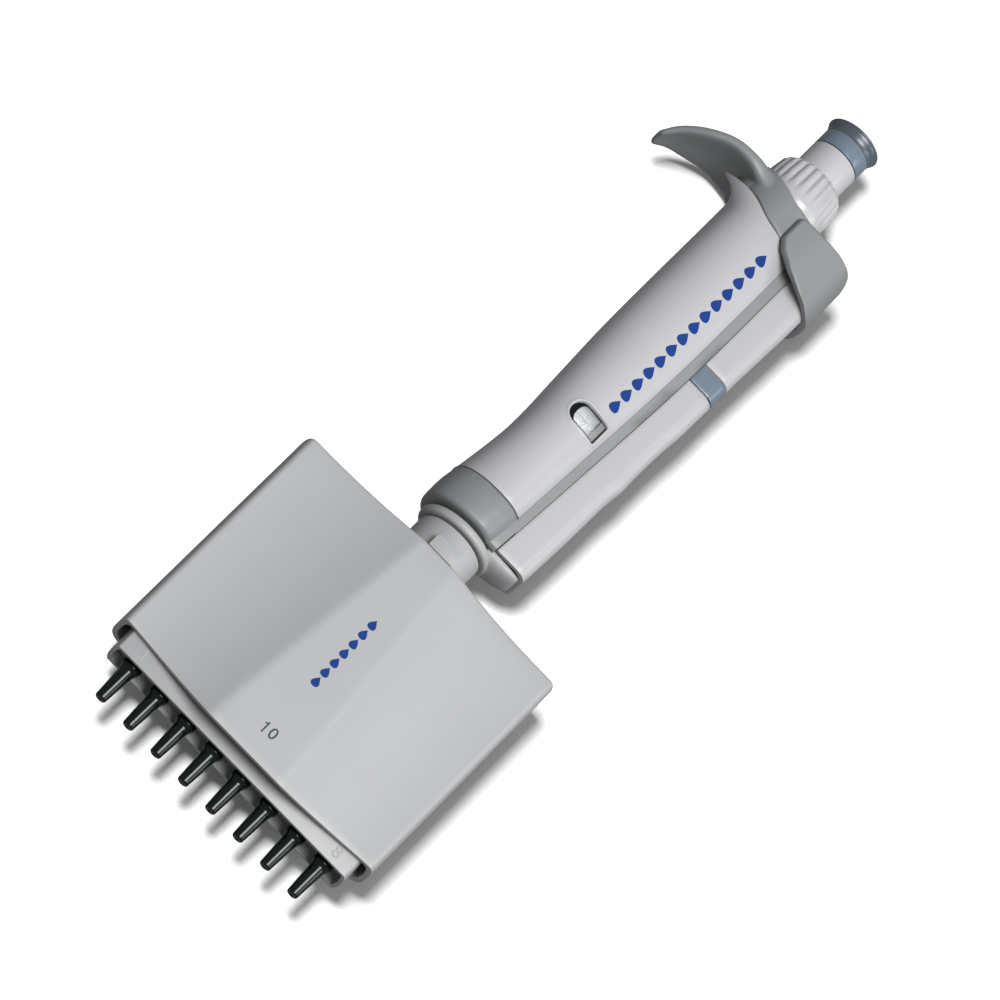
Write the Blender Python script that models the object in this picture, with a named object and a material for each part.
"""Eight-channel air-displacement pipette, built as the pieces it comes apart into.

It lies on its back: +X runs along the row of tip cones, +Y from the cones to the
control button, +Z out of the front. Shapes are drawn in millimetres around the
pipette's own axis, with d the distance from the ends of the cones.
"""
import math

import bmesh
import bpy
from mathutils import Vector

MM = 0.001
GAP = 0.3                      # between pieces that touch

# Driving sizes, in millimetres
LENGTH = 242.0
AXIS_HEIGHT = 14.4             # the axis above the surface that the back rests on
CHANNELS = 8
PITCH = 9.0                    # microplate standard
PLUNGER_STROKE = 12.5
EJECTOR_STROKE = 6.0
CONE_STROKE = 3.0

# Lower part
HOUSING_HALF_WIDTH = 41.2
HOUSING_TOP = 81.0
HOUSING_LOW = 15.8
HOUSING_BOW = 3.5              # how far the middle of the front's lower edge hangs down
WING_DEPTH = 7.4
WING_END = 3.2                 # length over which each end is rounded
FRONT_RIDGE = 12.0
SWEEP = 1.8                    # how hollow the wings are between their ends and the ridge
WALL = 1.4
SEAM = GAP / 2
SCREW_X, SCREW_D = 27.0, 44.4
SCREW_SEAT = -6.6
ROD_X = 36.2
SLEEVE_RADIUS = 9.2
SLEEVE_BORE = 7.7
NECK_RADIUS = 7.3
BAR_HALF_WIDTH, BAR_HALF_DEPTH = 37.9, 5.6
BAR_LOW, BAR_FLOOR, BAR_TOP = 10.4, 13.4, 22.0
LOWER_PLATE_D, UPPER_PLATE_D = (23.0, 26.0), (38.6, 41.2)
PLATE_HALF_WIDTH, PLATE_HALF_DEPTH = 39.4, 5.6
CONE_TOP = 42.4
CARRIAGE_LOW = CONE_TOP + CONE_STROKE + PLUNGER_STROKE + 2.1
CARRIAGE_D = (CARRIAGE_LOW, CARRIAGE_LOW + 3.5)
CROSSBAR_LOW = CARRIAGE_D[1] + EJECTOR_STROKE + 4.0
CROSSBAR_D = (CROSSBAR_LOW, CROSSBAR_LOW + 3.0)
POST_TOP = 86.0

# Handle
COLLAR_D = (93.1, 102.8)
SHELL_D = (103.1, 203.4)
SHELL_DEPTH = 12.0
SHELL_WALL = 1.5
SHELL_POWER = 2.4              # squareness of the shell's section
EDGE_SHARE = 0.772             # the shell's right edge, as a share of its right radius
EDGE_DEPTH = 8.6
WINDOW_X, WINDOW_D = (-3.9, 7.4), (128.7, 135.9)
LUG_D = (168.0, 171.0)

# Distance from the axis, against d: a few stations, joined by a smooth curve
HANDLE_LEFT = ((92, 12.4), (99, 12.5), (104, 11.9), (111, 11.0), (120, 10.1), (128, 10.0),
               (140, 10.5), (160, 11.2), (200, 11.2), (204, 11.6))
SHELL_EDGE = ((92, 6.0), (103, 6.9), (127, 8.1), (147, 9.1), (166, 9.6), (208, 9.8))
SPINE_LEFT = ((92, 8.6), (108, 9.6), (127, 10.7), (147, 11.8), (167, 12.4), (208, 12.6))
SPINE_RIGHT = ((92, 18.6), (109, 19.3), (133, 19.9), (167, 20.8), (190, 21.5), (208, 21.6))

# Top of the handle
BAND_HALF_DEPTH = 12.5
HOOD_HALF_DEPTH, HOOD_TOP, HOOD_LOW = 14.2, 209.9, 191.0
HOOD_ROOF = 1.4
STRIP_TOP = HOOD_TOP - HOOD_ROOF - EJECTOR_STROKE - 0.5   # clear of the hood's roof when pressed
RING_RADIUS, RING_TOP, RING_LOW = 10.0, 224.5, 206.5
BUTTON_RADIUS, BUTTON_LOW, CAP_RADIUS = 6.7, 222.1, 7.6
ROD_RADIUS, SPINDLE_RADIUS, SPINDLE_BORE = 2.5, 4.0, 2.9
ROD_FLANGE_D = (108.5, 110.2)

FINISHES = {                   # colour, roughness, metallic, alpha
    "shell": ((0.315, 0.312, 0.321), 0.40, 0.0, 1.0),
    "housing": ((0.262, 0.264, 0.268), 0.48, 0.0, 1.0),
    "grey": ((0.15, 0.155, 0.158), 0.44, 0.0, 1.0),
    "white": ((0.345, 0.345, 0.352), 0.30, 0.0, 1.0),
    "blue_grey": ((0.105, 0.135, 0.175), 0.26, 0.0, 1.0),
    "black": ((0.012, 0.014, 0.014), 0.18, 0.0, 1.0),
    "lens": ((0.85, 0.88, 0.90), 0.08, 0.0, 0.35),
    "steel": ((0.60, 0.60, 0.62), 0.28, 1.0, 1.0),
}


# ---------------------------------------------------------------- tools

def along(stations, d):
    """The smooth curve through (d, value) stations, read at d."""
    if d <= stations[0][0]:
        return stations[0][1]
    for i in range(len(stations) - 1):
        (d0, v0), (d1, v1) = stations[i], stations[i + 1]
        if d <= d1:
            before = stations[max(i - 1, 0)]
            after = stations[min(i + 2, len(stations) - 1)]
            m0 = (v1 - before[1]) / (d1 - before[0]) * (d1 - d0)
            m1 = (after[1] - v0) / (after[0] - d0) * (d1 - d0)
            t = (d - d0) / (d1 - d0)
            return ((2 * t**3 - 3 * t**2 + 1) * v0 + (t**3 - 2 * t**2 + t) * m0
                    + (3 * t**2 - 2 * t**3) * v1 + (t**3 - t**2) * m1)
    return stations[-1][1]


def spread(low, high, count):
    return [low + (high - low) * i / (count - 1) for i in range(count)]


def oval(rx, rz, angle, power):
    """A point on a squared ellipse, at an angle in degrees from +X towards +Z."""
    c, s = math.cos(math.radians(angle)), math.sin(math.radians(angle))
    return (rx * math.copysign(abs(c) ** (2 / power), c),
            rz * math.copysign(abs(s) ** (2 / power), s))


def material(name, finish):
    colour, roughness, metallic, alpha = FINISHES[finish]
    made = bpy.data.materials.new(name)
    made.use_nodes = True
    shader = made.node_tree.nodes["Principled BSDF"]
    shader.inputs["Base Color"].default_value = (*colour, 1.0)
    shader.inputs["Roughness"].default_value = roughness
    shader.inputs["Metallic"].default_value = metallic
    shader.inputs["Alpha"].default_value = alpha
    made.diffuse_color = (*colour, alpha)
    return made


def finished(bm, name, finish, parent, smooth_under=35.0):
    """Turns a bmesh in millimetres into an object in metres under its joint's empty."""
    bmesh.ops.recalc_face_normals(bm, faces=bm.faces)
    bmesh.ops.scale(bm, vec=(MM, MM, MM), verts=bm.verts)
    mesh = bpy.data.meshes.new(name)
    bm.to_mesh(mesh)
    bm.free()
    mesh.shade_smooth()
    mesh.set_sharp_from_angle(angle=math.radians(smooth_under))
    made = bpy.data.objects.new(name, mesh)
    bpy.context.scene.collection.objects.link(made)
    made.parent = parent
    if finish:
        mesh.materials.append(material(name, finish))
    else:
        made.hide_render = True
        made.display_type = "WIRE"
    return made


def loft(rings):
    """A closed body through rings of points, with flat ends."""
    bm = bmesh.new()
    rows = [[bm.verts.new(p) for p in ring] for ring in rings]
    count = len(rows[0])
    for low, high in zip(rows, rows[1:]):
        for i in range(count):
            j = (i + 1) % count
            bm.faces.new((low[i], low[j], high[j], high[i]))
    bm.faces.new(rows[0][::-1])
    bm.faces.new(rows[-1])
    return bm


def turned(outline, sides):
    """A body turned about the axis from a closed outline of (radius, d)."""
    bm = bmesh.new()
    rows = []
    for radius, d in outline:
        if radius == 0:
            rows.append([bm.verts.new((0, d, 0))] * sides)
            continue
        turns = [2 * math.pi * (i + 0.5) / sides for i in range(sides)]
        rows.append([bm.verts.new((radius * math.cos(a), d, radius * math.sin(a))) for a in turns])
    for low, high in zip(rows, rows[1:] + rows[:1]):
        for i in range(sides):
            j = (i + 1) % sides
            corners = list(dict.fromkeys((low[i], low[j], high[j], high[i])))
            if len(corners) > 2:
                bm.faces.new(corners)
    return bm


def tube(outer, inner, low, high, sides):
    return turned([(outer, low), (outer, high), (inner, high), (inner, low)], sides)


def rod(radius, low, high, sides):
    return turned([(0, low), (radius, low), (radius, high), (0, high)], sides)


def slab(outline, z0, z1):
    """A flat outline of (x, d), raised from z0 to z1."""
    return loft([[(x, d, z) for x, d in outline] for z in (z0, z1)])


def column(outline, low, high):
    """A section of (x, z), drawn along the axis."""
    return loft([[(x, d, z) for x, z in outline] for d in (low, high)])


def block(x0, x1, d0, d1, z0, z1):
    return slab([(x0, d0), (x1, d0), (x1, d1), (x0, d1)], z0, z1)


def post(x, d, radius, z0, z1, sides=12):
    """A round post or hole that stands along Z."""
    turns = [2 * math.pi * i / sides for i in range(sides)]
    return slab([(x + radius * math.cos(a), d + radius * math.sin(a)) for a in turns], z0, z1)


def round_ended(half, depth, end, per_corner=4):
    """A plan of (x, z): a bar with its two ends rounded off over a length."""
    turns = [math.radians(a) for a in spread(0, 90, per_corner)]
    corner = [(half - end * (1 - math.cos(a)), depth * math.sin(a)) for a in turns]
    right = [(x, -z) for x, z in corner[:0:-1]] + corner
    return right + [(-x, z) for x, z in corner[:0:-1]] + [(-x, -z) for x, z in corner]


def moved(bm, x):
    bmesh.ops.translate(bm, vec=(x, 0, 0), verts=bm.verts)
    return bm


def combine(body, operation, bm):
    """Joins, cuts or keeps the part of a body that a hidden tool covers."""
    count = len(body.modifiers) + 1
    tool = finished(bm, f"{body.name}_tool_{count}", None, body.parent)
    modifier = body.modifiers.new(f"{operation.lower()}_{count}", "BOOLEAN")
    modifier.operation = operation
    modifier.object = tool


def coil(radius, wire, low, high, turns, steps, sides):
    """A compression spring along the axis."""
    rings = []
    low, high = low + wire, high - wire
    count = turns * steps
    for i in range(count + 1):
        angle = 2 * math.pi * i / steps
        d = low + (high - low) * i / count
        out = Vector((math.cos(angle), 0, math.sin(angle)))
        centre = out * radius + Vector((0, d, 0))
        ring = [2 * math.pi * k / sides for k in range(sides)]
        rings.append([centre + wire * (out * math.cos(a) + Vector((0, math.sin(a), 0)))
                      for a in ring])
    return loft(rings)


def empty(name, x, parent):
    made = bpy.data.objects.new(name, None)
    made.empty_display_size = 0.01
    made.location = (x * MM, 0, 0)
    made.parent = parent
    bpy.context.scene.collection.objects.link(made)
    return made


def cone_places():
    return [PITCH * (i - (CHANNELS - 1) / 2) for i in range(CHANNELS)]


# ---------------------------------------------------------------- handle

def shell_arc(d, inset, side):
    """The shell's section at d, from its left seam round to its right edge."""
    left = along(HANDLE_LEFT, d) - inset
    right = along(SHELL_EDGE, d) / EDGE_SHARE - inset
    depth = SHELL_DEPTH - inset
    edge_angle = math.degrees(math.acos(EDGE_SHARE ** (SHELL_POWER / 2)))
    points = [(-left, SEAM)]
    points += [oval(left, depth, a, SHELL_POWER) for a in spread(165, 90, 6)]
    points += [oval(right, depth, a, SHELL_POWER) for a in spread(90, edge_angle, 5)[1:]]
    return [(x, d, side * z) for x, z in points]


def make_shell(name, side, body):
    stations = [SHELL_D[0], 107, 111, 115, 120, 128, 136, 145, 155, 170, 186, SHELL_D[1]]
    rings = [shell_arc(d, 0, side) + shell_arc(d, SHELL_WALL, side)[::-1] for d in stations]
    return finished(loft(rings), name, "shell", body)


def window_outline(inset):
    """The display window: round at its left end, square at its right."""
    (x0, x1), (d0, d1) = WINDOW_X, WINDOW_D
    radius = (d1 - d0) / 2 - inset
    middle = (d0 + d1) / 2
    start = x0 + inset + radius
    arc = [(start - radius * math.sin(math.radians(a)), middle + radius * math.cos(math.radians(a)))
           for a in spread(0, 180, 9)]
    return arc + [(x1 - inset, d0 + inset), (x1 - inset, d1 - inset)]


def shell_front(x, d):
    """How far in front of the axis the shell's surface is."""
    right = along(SHELL_EDGE, d) / EDGE_SHARE
    reach = abs(x) / (right if x > 0 else along(HANDLE_LEFT, d))
    return SHELL_DEPTH * (1 - reach ** SHELL_POWER) ** (1 / SHELL_POWER)


def make_window(body):
    outline = window_outline(GAP)
    rings = [[(x, d, shell_front(x, d) - sunk) for x, d in outline] for sunk in (1.6, 0.5)]
    return finished(loft(rings), "display_window", "lens", body)


def collar_ring(d, inset):
    """The collar's section: round on the left, flat towards the spine."""
    left = along(HANDLE_LEFT, d) - inset
    right = along(SHELL_EDGE, d) / EDGE_SHARE - inset
    depth = SHELL_DEPTH - inset
    flat = along(SPINE_LEFT, d) - GAP
    edge_angle = math.degrees(math.acos(EDGE_SHARE ** (SHELL_POWER / 2)))
    half = [oval(left, depth, a, SHELL_POWER) for a in spread(170, 90, 6)]
    half += [oval(right, depth, a, SHELL_POWER) for a in spread(90, edge_angle, 4)[1:]]
    half.append((flat, 7.9 - inset))
    ring = [(-left, 0)] + half + [(x, -z) for x, z in half[::-1]]
    return [(x, d, z) for x, z in ring]


def strip_ring(d):
    x0 = along(SHELL_EDGE, d) + GAP
    x1 = along(SPINE_LEFT, d) - GAP - 0.1
    return [(x0, d, EDGE_DEPTH), (x1, d, 7.8), (x1, d, -7.8), (x0, d, -EDGE_DEPTH)]


def make_grip_frame(body):
    """Grey collar round the neck, with the strip that the spine slides along."""
    low, high = COLLAR_D
    sections = [(low, 1.5), (low + 0.7, 0.5), (low + 2, 0), (98, 0), (high, 0)]
    frame = finished(loft([collar_ring(d, inset) for d, inset in sections]),
                     "grip_frame", "grey", body)
    strip = [strip_ring(d) for d in (100, 110, 120, 130, 140, 150, 165, 185, STRIP_TOP)]
    combine(frame, "UNION", loft(strip))
    combine(frame, "UNION", rod(10.3, low + 0.2, high - 0.4, 20))
    combine(frame, "UNION", block(11.0, 17.0, LUG_D[0], LUG_D[1], -3, 3))
    combine(frame, "DIFFERENCE", turned(
        [(0, low - 2), (NECK_RADIUS + GAP, low - 2), (NECK_RADIUS + GAP, 95.2), (8.9, 95.2),
         (8.9, 98.6), (6.2, 98.6), (6.2, high + 2), (0, high + 2)], 24))
    return frame


def band_outline(left, right, depth, sides):
    """A plan that is round on both sides of the axis, with its own reach to each side."""
    points = []
    for i in range(sides):
        angle = 360 * (i + 0.5) / sides
        reach = right if math.cos(math.radians(angle)) > 0 else left
        points.append(oval(reach, depth, angle, SHELL_POWER))
    return points


def make_finger_hook(body):
    """The band that closes the handle's top, with the hook for the forefinger."""
    low = SHELL_D[1] + GAP
    top = [(14, 210.9), (5, 210.9), (0, 211.5), (-7.4, 214.2), (-14, 216.9)]
    hook_top = [(-8, 214.4), (-13.5, 215.6), (-20, 214.4), (-26, 211.8), (-31.5, 208.0),
                (-34.6, 204.6), (-35.8, 202.4)]
    hook_under = [(-34.6, 201.4), (-31.0, 205.0), (-27, 207.4), (-22, 208.9), (-17.5, 208.6),
                  (-14.5, 206.8), (-12.6, 204.2), (-8, 204.2)]
    hook = finished(column(band_outline(12.3, 12.4, BAND_HALF_DEPTH, 28), low, 219),
                    "finger_hook", "grey", body)
    combine(hook, "INTERSECT", slab([(-14, low - 1), (14, low - 1)] + top, -15, 15))
    outline = hook_top + hook_under
    rings = []
    for z, shrink in ((-8.6, 1.0), (-7.0, 0.0), (7.0, 0.0), (8.6, 1.0)):
        rings.append([(x, d + (shrink if k >= len(hook_top) else -shrink), z)
                      for k, (x, d) in enumerate(outline)])
    combine(hook, "UNION", loft(rings))
    foot = [(-8.5, low + 0.6), (2.4, low + 0.6), (2.9, low + 1.4), (2.9, 209.4), (1.8, 210.2),
            (-7.6, 210.2), (-9, 208.8), (-9, low + 1.4)]
    combine(hook, "UNION", slab(foot, -AXIS_HEIGHT, 1 - BAND_HALF_DEPTH))
    combine(hook, "DIFFERENCE", rod(10.4, low + 2.2, 225, 28))
    combine(hook, "DIFFERENCE", rod(6.8, low - 3, 225, 20))
    return hook


def make_bushes(body):
    finished(tube(6.5, SPINDLE_RADIUS + GAP, 199.0, 205.6, 16), "upper_bush", "white", body)
    finished(tube(7.4, SPINDLE_RADIUS + GAP, 138.0, 141.5, 16), "lower_bush", "white", body)


def make_handle(body):
    front = make_shell("front_shell", 1, body)
    combine(front, "DIFFERENCE", slab(window_outline(0), 4, 14))
    make_shell("rear_shell", -1, body)
    make_window(body)
    make_grip_frame(body)
    make_finger_hook(body)
    make_bushes(body)
    finished(coil(4.4, 0.45, 88.8, ROD_FLANGE_D[0] - GAP, 7, 10, 4), "main_spring", "steel", body)
    spring = coil(2.3, 0.35, LUG_D[1] + GAP, 188.3, 7, 8, 4)
    finished(moved(spring, 15.6), "ejector_spring", "steel", body)


# ---------------------------------------------------------------- plunger and volume setting

def make_plunger(body):
    r = BUTTON_RADIUS
    finished(turned([(0, BUTTON_LOW), (r - 0.4, BUTTON_LOW), (r, BUTTON_LOW + 0.4), (r, 232.6),
                     (4.6, 232.6), (4.6, 238.2), (0, 238.2)], 24), "control_button", "white", body)
    finished(tube(r, 4.9, 232.9, 237.3, 24), "button_band", "blue_grey", body)
    finished(turned([(4.9, 237.6), (r + 0.1, 237.6), (r + 0.3, 238.4), (CAP_RADIUS, 239.3),
                     (CAP_RADIUS, 240.8), (r, 241.5), (3.6, 241.9), (0, LENGTH), (0, 238.6),
                     (4.9, 238.6)], 24), "button_cap", "blue_grey", body)
    low, high = ROD_FLANGE_D
    finished(turned([(0, POST_TOP + GAP), (ROD_RADIUS, POST_TOP + GAP), (ROD_RADIUS, low),
                     (5.2, low), (5.2, high), (ROD_RADIUS, high), (ROD_RADIUS, BUTTON_LOW - GAP),
                     (0, BUTTON_LOW - GAP)], 16), "push_rod", "steel", body)


def make_volume_ring(body):
    r = RING_RADIUS
    finished(turned([(SPINDLE_RADIUS + GAP, RING_LOW), (9.4, RING_LOW), (9.5, 211.5), (r, 213.5),
                     (r - 0.2, 219.5), (r - 0.6, 222.6), (8.8, 223.8), (7.9, RING_TOP),
                     (7.2, RING_TOP), (7.2, RING_LOW + 1.5), (SPINDLE_RADIUS + GAP, RING_LOW + 1.5)],
                    32), "volume_ring", "white", body)
    finished(turned([(SPINDLE_BORE, 110.7), (SPINDLE_RADIUS, 110.7), (SPINDLE_RADIUS, 208.3),
                     (6.6, 208.3), (6.6, 209.3), (SPINDLE_BORE, 209.3)], 16),
             "spindle_sleeve", "steel", body)


def make_counter(tenths, units, tens):
    """Three number wheels under the window, the fastest one nearest to the cones."""
    width = 2.0
    for i, (name, body) in enumerate((("tenths_wheel", tenths), ("units_wheel", units),
                                      ("tens_wheel", tens))):
        low = 129.0 + i * (width + GAP)
        finished(tube(8.0, SPINDLE_RADIUS + GAP, low, low + width, 20), name, "white", body)


def make_stop_nut(body):
    nut = finished(tube(7.0, SPINDLE_RADIUS + GAP, 111.0, 115.0, 20), "stop_nut", "steel", body)
    combine(nut, "DIFFERENCE", block(-9, -6, 110, 116, -1.2, 1.2))


# ---------------------------------------------------------------- tip ejector

def spine_arc(d, inset):
    left, right = along(SPINE_LEFT, d), along(SPINE_RIGHT, d) - inset
    depth, corner = 8.0 - inset, 3.4 - inset / 2
    half = [(left, depth), (left + 1.5, depth)]
    for a in spread(90, 0, 5):
        half.append((right - corner + corner * math.cos(math.radians(a)),
                     depth - corner + corner * math.sin(math.radians(a))))
    return [(x, d, z) for x, z in half] + [(x, d, -z) for x, z in half[::-1]]


def make_spine(body):
    """White channel that joins the thumb piece to the arm, with a groove for its colour band."""
    groove = 0.8
    stations = [(93.9, 0), (108, 0), (127, 0), (147, 0), (160.1, 0), (160.3, groove),
                (166.2, groove), (166.4, 0), (188, 0), (208, 0)]
    rings = [spine_arc(d, sunk) + spine_arc(d, 1.6)[::-1] for d, sunk in stations]
    spine = finished(loft(rings), "ejector_spine", "shell", body)
    combine(spine, "UNION", block(13.2, 20.6, 188.6, 190.2, -6.8, 6.8))
    band = [spine_arc(d, 0) + spine_arc(d, 0.5)[::-1] for d in (160.6, 165.9)]
    finished(loft(band), "spine_band", "blue_grey", body)


def hood_plan(inset):
    centre, tip = 6.0, 23.6 - inset
    half = [oval(tip - centre, HOOD_HALF_DEPTH - inset, a, 2.6) for a in spread(90, 0, 9)]
    half = [(centre + x, z) for x, z in half]
    start = 3.6 if inset == 0 else 0.0
    return [(start, HOOD_HALF_DEPTH - inset)] + half + [
        (x, -z) for x, z in half[-2::-1]] + [(start, inset - HOOD_HALF_DEPTH)]


def make_ejector_button(body):
    """The hood over the handle's top that the thumb presses to push the tips off."""
    side = [(2, HOOD_TOP), (2, 202.6), (3.9, 202.2), (5.5, 199.8), (10.4, 196.8), (15.3, 195.0),
            (18.7, 193.4), (21.3, 191.8), (22.6, HOOD_LOW), (25, HOOD_LOW), (25, HOOD_TOP - 4.5),
            (23.6, HOOD_TOP - 2.4), (21.4, HOOD_TOP - 0.6), (19, HOOD_TOP)]
    hood = finished(column(hood_plan(0), HOOD_LOW - 1, HOOD_TOP + 1), "ejector_button", "grey", body)
    combine(hood, "INTERSECT", slab(side, -17, 17))
    combine(hood, "DIFFERENCE", column(hood_plan(1.35), HOOD_LOW - 4, HOOD_TOP - HOOD_ROOF))
    combine(hood, "DIFFERENCE", column(band_outline(12.9, 12.9, 12.85, 28), 180, 220))


def make_ejector_arm(body):
    """Ring on the neck that presses the sleeve down, and its arm to the spine."""
    arm = finished(tube(10.6, NECK_RADIUS + 0.4, 90.0, 92.4, 28), "ejector_arm", "housing", body)
    foot = [(8.6, 90.1), (10.6, 90.1), (14.0, 90.9), (16.3, 92.2), (17.3, 93.6), (11.2, 93.6),
            (10.8, 92.3), (8.6, 92.3)]
    combine(arm, "UNION", slab(foot, -6.2, 6.2))


def make_ejector_bar(body):
    sleeve = finished(tube(SLEEVE_RADIUS, SLEEVE_BORE, CROSSBAR_D[1] + GAP, 89.7, 28),
                      "ejector_sleeve", "housing", body)
    combine(sleeve, "UNION", block(-3.75, 3.75, 81.7, 84.6, 8.0, 9.9))
    low, high = CROSSBAR_D
    yoke = finished(column(round_ended(ROD_X + 1.2, 3.6, 2.0), low, high),
                    "ejector_yoke", "white", body)
    combine(yoke, "UNION", rod(9.4, low + 0.1, high - 0.1, 24))
    for x in (-ROD_X, ROD_X):
        combine(yoke, "UNION", moved(rod(1.1, BAR_TOP + GAP, low + 1, 10), x))
    combine(yoke, "DIFFERENCE", rod(SLEEVE_BORE, low - 1, high + 1, 24))
    w, t = BAR_HALF_WIDTH, BAR_HALF_DEPTH
    bar = finished(column(round_ended(w, t, 1.2), BAR_LOW, BAR_TOP), "ejector_bar", "housing", body)
    for d0, d1 in ((BAR_LOW - 1, BAR_FLOOR), (BAR_FLOOR + 1.6, BAR_TOP + 1)):
        combine(bar, "DIFFERENCE", column(round_ended(w - WALL, t - WALL, 0.8, 3), d0, d1))
    for x in cone_places():
        combine(bar, "DIFFERENCE", moved(rod(2.95, BAR_FLOOR - 1, BAR_FLOOR + 3, 12), x))


# ---------------------------------------------------------------- lower part

def ridge_flat(d):
    """Half the width of the ridge's flat top, which widens downwards."""
    return 5.5 + 6.0 * (HOUSING_TOP - d) / (HOUSING_TOP - HOUSING_LOW)


def rise(x, flat):
    """0 at the wings' ends, sweeping up to 1 at the crease of the ridge's flat top."""
    wing = HOUSING_HALF_WIDTH - WING_END
    return min(1.0, max(0.0, (wing - abs(x)) / (wing - flat)))


def housing_arc(d, inset, side, ridge, bow=0.0):
    """One half's section, from seam to seam: round ends, hollow wings, a ridge in the middle."""
    flat = ridge_flat(d)
    half, wing, end = HOUSING_HALF_WIDTH - inset, WING_DEPTH - inset, WING_END
    turns = [math.radians(a) for a in spread(0, 90, 5)]
    xs = [-half + end * (1 - math.cos(a)) for a in turns]
    xs += spread(xs[-1], -flat, 6)[1:]
    xs += [0.0] + [-x for x in xs[::-1]]
    arc = []
    for x in xs:
        past = max(0.0, (abs(x) - (half - end)) / end)
        z = max(SEAM, wing * max(0.0, 1 - past**3) ** (1 / 3))
        up = rise(x, flat)
        z += (ridge - WING_DEPTH) * up**SWEEP
        arc.append((x, d - bow * (up + up**SWEEP) / 2, side * z))
    return arc


def half_cover(outer, inner):
    """Half of a cover that is open at its first pair of arcs and closed at its last."""
    bm = bmesh.new()
    out, into = ([[bm.verts.new(p) for p in arc] for arc in arcs] for arcs in (outer, inner))
    last = len(out[0]) - 1
    for rows in (out, into):
        for low, high in zip(rows, rows[1:]):
            for i in range(last):
                bm.faces.new((low[i], low[i + 1], high[i + 1], high[i]))
        bm.faces.new(rows[-1])
    for i in range(last):
        bm.faces.new((out[0][i], out[0][i + 1], into[0][i + 1], into[0][i]))
    for row in range(len(out) - 1):
        for i in (0, last):
            bm.faces.new((out[row][i], out[row + 1][i], into[row + 1][i], into[row][i]))
    bm.faces.new((out[-1][0], out[-1][last], into[-1][last], into[-1][0]))
    return bm


def make_housing_half(name, side, ridge, bow, body):
    outer = [housing_arc(HOUSING_LOW, 0, side, ridge, bow)]
    outer += [housing_arc(d, 0, side, ridge) for d in (30, 45, 60, HOUSING_TOP - 1.2)]
    outer += [[(x * 0.988, HOUSING_TOP, z if abs(z) < 1 else z * 0.96)
               for x, d, z in housing_arc(HOUSING_TOP, 0, side, ridge)]]
    inner = [housing_arc(HOUSING_LOW, WALL, side, ridge, bow)]
    inner += [housing_arc(d, WALL, side, ridge)
              for d in (30, 45, 60, HOUSING_TOP - 3, HOUSING_TOP - WALL - 0.2)]
    half = finished(half_cover(outer, inner), name, "housing", body)
    neck_hole = rod(SLEEVE_RADIUS + 0.4, HOUSING_TOP - 4, HOUSING_TOP + 2, 28)
    combine(half, "DIFFERENCE", neck_hole)
    if side > 0:
        combine(half, "DIFFERENCE", block(-4.1, 4.1, HOUSING_TOP - 3, HOUSING_TOP + 1, 5, 10.25))
    flat = ridge_flat(SCREW_D)
    wall_middle = WING_DEPTH - WALL / 2 + (ridge - WING_DEPTH) * rise(SCREW_X, flat)**SWEEP
    for x in (-SCREW_X, SCREW_X):
        ends = sorted((side * 0.3, side * wall_middle))
        combine(half, "UNION", post(x, SCREW_D, 2.5, *ends))
        if side > 0:
            combine(half, "DIFFERENCE", post(x, SCREW_D, 1.3, -1.0, 4.0, 10))
        else:
            combine(half, "DIFFERENCE", post(x, SCREW_D, 1.5, -12.0, 0.0, 10))
            combine(half, "DIFFERENCE", post(x, SCREW_D, 2.3, -12.0, SCREW_SEAT, 12))


def make_screws(body):
    for name, x in (("housing_screw_left", -SCREW_X), ("housing_screw_right", SCREW_X)):
        head = (SCREW_SEAT - GAP - 1.1, SCREW_SEAT - GAP)
        screw = finished(post(x, SCREW_D, 1.95, *head), name, "steel", body)
        combine(screw, "UNION", post(x, SCREW_D, 1.0, head[1] - 0.3, 3.6, 10))


def make_neck_tube(body):
    """Tube that the handle turns on; its foot is held between the housing's halves."""
    neck = finished(turned(
        [(4.4, 64.0), (9.4, 64.0), (9.4, 66.5), (NECK_RADIUS, 66.5), (NECK_RADIUS, 95.5), (8.6, 95.5),
         (8.6, 98.3), (5.6, 98.3), (5.6, 88.5), (4.4, 88.5)], 24), "neck_tube", "white", body)
    combine(neck, "UNION", block(-12, 12, 64.2, 66.3, -4.2, 4.2))
    combine(neck, "DIFFERENCE", rod(4.4, 60, 80, 24))


def make_cone_plates(body):
    for name, (low, high) in (("lower_cone_plate", LOWER_PLATE_D),
                              ("upper_cone_plate", UPPER_PLATE_D)):
        plan = round_ended(PLATE_HALF_WIDTH, PLATE_HALF_DEPTH, 5.4, 5)
        plate = finished(column(plan, low, high), name, "white", body)
        holes = [(x, 2.55) for x in cone_places()] + [(-ROD_X, 1.5), (ROD_X, 1.5)]
        for x, radius in holes:
            combine(plate, "DIFFERENCE", moved(rod(radius, low - 1, high + 1, 10), x))


def make_carriage(body):
    """Plate that drives all pistons, with the post that the push rod presses."""
    low, high = CARRIAGE_D
    carriage = finished(block(-34.5, 34.5, low, high, -3.2, 3.2), "piston_carriage", "white", body)
    combine(carriage, "UNION", rod(4.0, low + 0.5, POST_TOP, 20))
    shape = turned([(0, 34.0), (0.55, 34.0), (0.55, 58.2), (1.5, 58.2), (1.5, low - GAP),
                    (0, low - GAP)], 8)
    first = None
    for i, x in enumerate(cone_places()):
        name = f"piston_{i + 1}"
        if first is None:
            first = finished(shape, name, "steel", body)
            first.location.x = x * MM
        else:
            again(first, name, x, body)


def again(first, name, x, body):
    """Another copy of a repeated piece, which shares the first one's mesh."""
    made = bpy.data.objects.new(name, first.data)
    bpy.context.scene.collection.objects.link(made)
    made.parent = body
    made.location.x = x * MM
    return made


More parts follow.
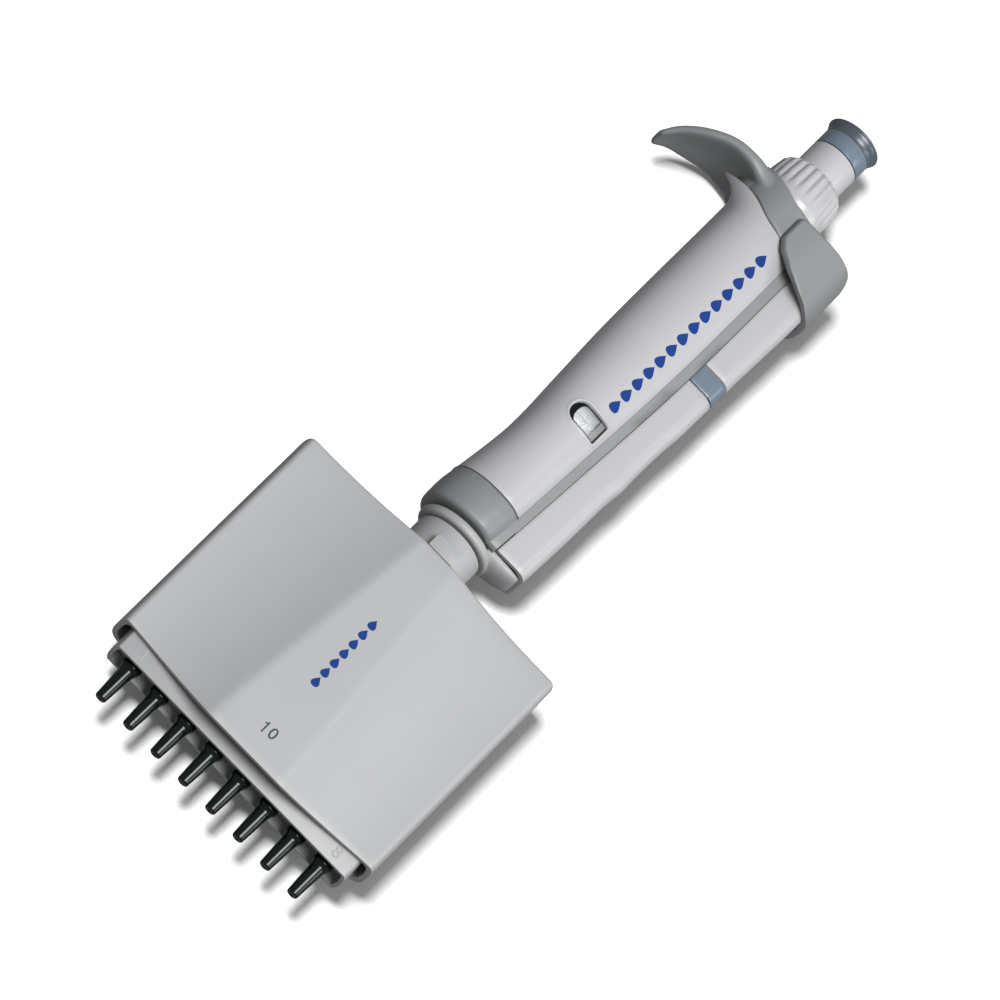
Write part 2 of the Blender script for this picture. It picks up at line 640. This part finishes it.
def make_cones(axis, body):
    """Each tip cone slides up on its own spring."""
    low = UPPER_PLATE_D[0]
    shape = [(0.8, 0.3), (0.95, 0.0), (1.2, 0.0), (1.52, 0.6), (2.0, 9.2), (2.55, 10.2),
             (2.55, 19.0), (2.3, 19.3), (2.3, 26.3), (3.0, 26.3), (3.0, 28.0), (1.7, 28.0),
             (1.7, CONE_TOP), (0.8, CONE_TOP)]
    first_cone = first_spring = None
    for i, x in enumerate(cone_places()):
        slide = empty(f"cone_{i + 1}_slide", x, axis)
        if first_cone is None:
            first_cone = finished(turned(shape, 12), "cone_1", "black", slide)
            first_spring = finished(coil(2.45, 0.3, 28.3, low - GAP, 4, 7, 3), "cone_spring_1",
                                    "steel", body)
            first_spring.location.x = x * MM
        else:
            again(first_cone, f"cone_{i + 1}", 0.0, slide)
            again(first_spring, f"cone_spring_{i + 1}", x, body)


def main():
    for old in list(bpy.data.objects):
        bpy.data.objects.remove(old, do_unlink=True)
    axis = empty("pipette_axis", 0.0, None)
    axis.location = (0, -LENGTH / 2 * MM, AXIS_HEIGHT * MM)
    bodies = {name: empty(name, 0.0, axis) for name in (
        "handle", "plunger_slide", "volume_turn", "tenths_turn", "units_turn", "tens_turn",
        "nut_slide", "ejector_slide", "lower_part_swivel")}
    make_handle(bodies["handle"])
    make_plunger(bodies["plunger_slide"])
    make_volume_ring(bodies["volume_turn"])
    make_counter(bodies["tenths_turn"], bodies["units_turn"], bodies["tens_turn"])
    make_stop_nut(bodies["nut_slide"])
    make_spine(bodies["ejector_slide"])
    make_ejector_button(bodies["ejector_slide"])
    make_ejector_arm(bodies["ejector_slide"])
    lower = bodies["lower_part_swivel"]
    make_housing_half("housing_front", 1, FRONT_RIDGE, HOUSING_BOW, lower)
    make_housing_half("housing_rear", -1, AXIS_HEIGHT, 0.0, lower)
    make_screws(lower)
    make_neck_tube(lower)
    make_cone_plates(lower)
    make_ejector_bar(empty("bar_slide", 0.0, lower))
    make_carriage(empty("carriage_slide", 0.0, lower))
    make_cones(lower, lower)


main()
